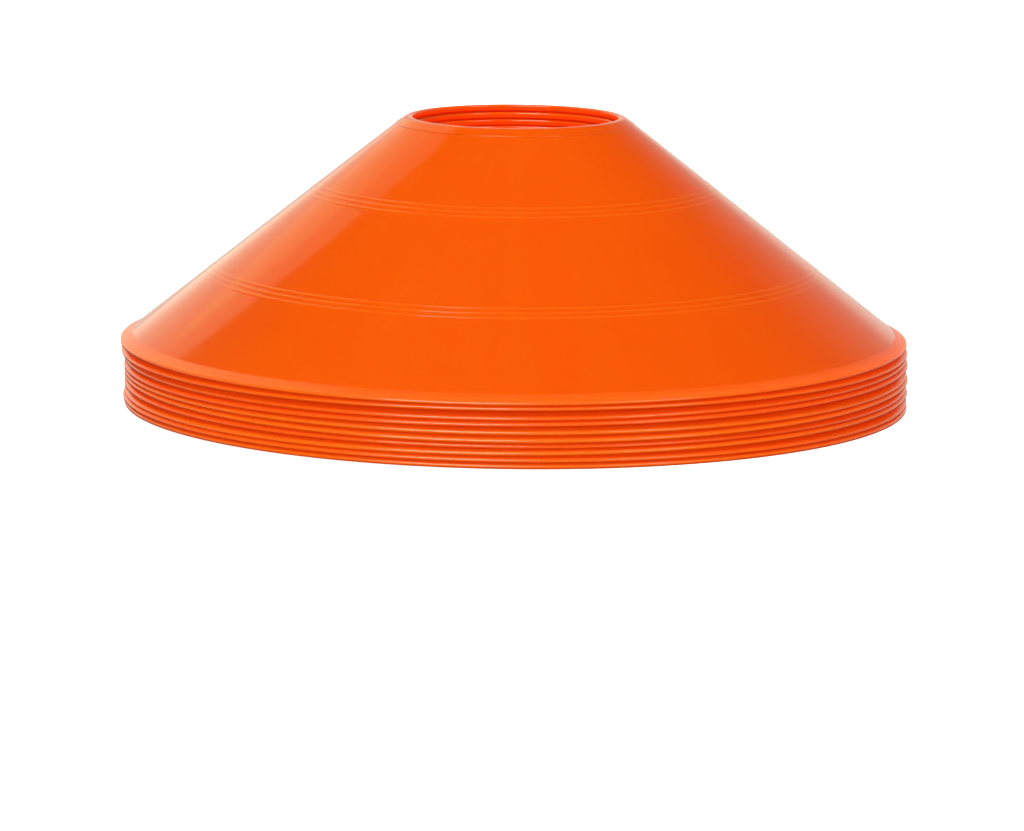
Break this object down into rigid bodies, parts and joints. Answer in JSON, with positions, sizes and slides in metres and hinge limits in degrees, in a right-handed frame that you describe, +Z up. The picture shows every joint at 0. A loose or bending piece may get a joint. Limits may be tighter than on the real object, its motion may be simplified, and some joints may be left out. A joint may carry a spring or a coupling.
{
  "type": "sports marker cone stack",
  "caption": "Nested stack of low disc marker cones in glossy orange plastic; each is a thin shell with a flat rim, bands of fine ridges and a collar round an open top.",
  "frame": {"origin": "centre of the lowest cone's rim on the ground, under the middle of the stack", "axes": "+Z straight up along the cones' common centre line, the way a cone lifts off; +X and +Y level, the cones are round about +Z"},
  "size_m": [0.19, 0.19, 0.0694],
  "materials": {
    "orange_plastic": "gloss"
  },
  "bodies": {
    "cone_01": {"cone_01": "orange_plastic"},
    "cone_02": {"cone_02": "orange_plastic"},
    "cone_03": {"cone_03": "orange_plastic"},
    "cone_04": {"cone_04": "orange_plastic"},
    "cone_05": {"cone_05": "orange_plastic"},
    "cone_06": {"cone_06": "orange_plastic"},
    "cone_07": {"cone_07": "orange_plastic"},
    "cone_08": {"cone_08": "orange_plastic"},
    "cone_09": {"cone_09": "orange_plastic"},
    "cone_10": {"cone_10": "orange_plastic"}
  },
  "joints": [
    {"name": "lift_02", "type": "slide", "parent": "cone_01", "child": "cone_02", "axis": [0, 0, 1], "range_m": [0, 0.06]},
    {"name": "lift_03", "type": "slide", "parent": "cone_02", "child": "cone_03", "axis": [0, 0, 1], "range_m": [0, 0.06]},
    {"name": "lift_04", "type": "slide", "parent": "cone_03", "child": "cone_04", "axis": [0, 0, 1], "range_m": [0, 0.06]},
    {"name": "lift_05", "type": "slide", "parent": "cone_04", "child": "cone_05", "axis": [0, 0, 1], "range_m": [0, 0.06]},
    {"name": "lift_06", "type": "slide", "parent": "cone_05", "child": "cone_06", "axis": [0, 0, 1], "range_m": [0, 0.06]},
    {"name": "lift_07", "type": "slide", "parent": "cone_06", "child": "cone_07", "axis": [0, 0, 1], "range_m": [0, 0.06]},
    {"name": "lift_08", "type": "slide", "parent": "cone_07", "child": "cone_08", "axis": [0, 0, 1], "range_m": [0, 0.06]},
    {"name": "lift_09", "type": "slide", "parent": "cone_08", "child": "cone_09", "axis": [0, 0, 1], "range_m": [0, 0.06]},
    {"name": "lift_10", "type": "slide", "parent": "cone_09", "child": "cone_10", "axis": [0, 0, 1], "range_m": [0, 0.06]}
  ]
}
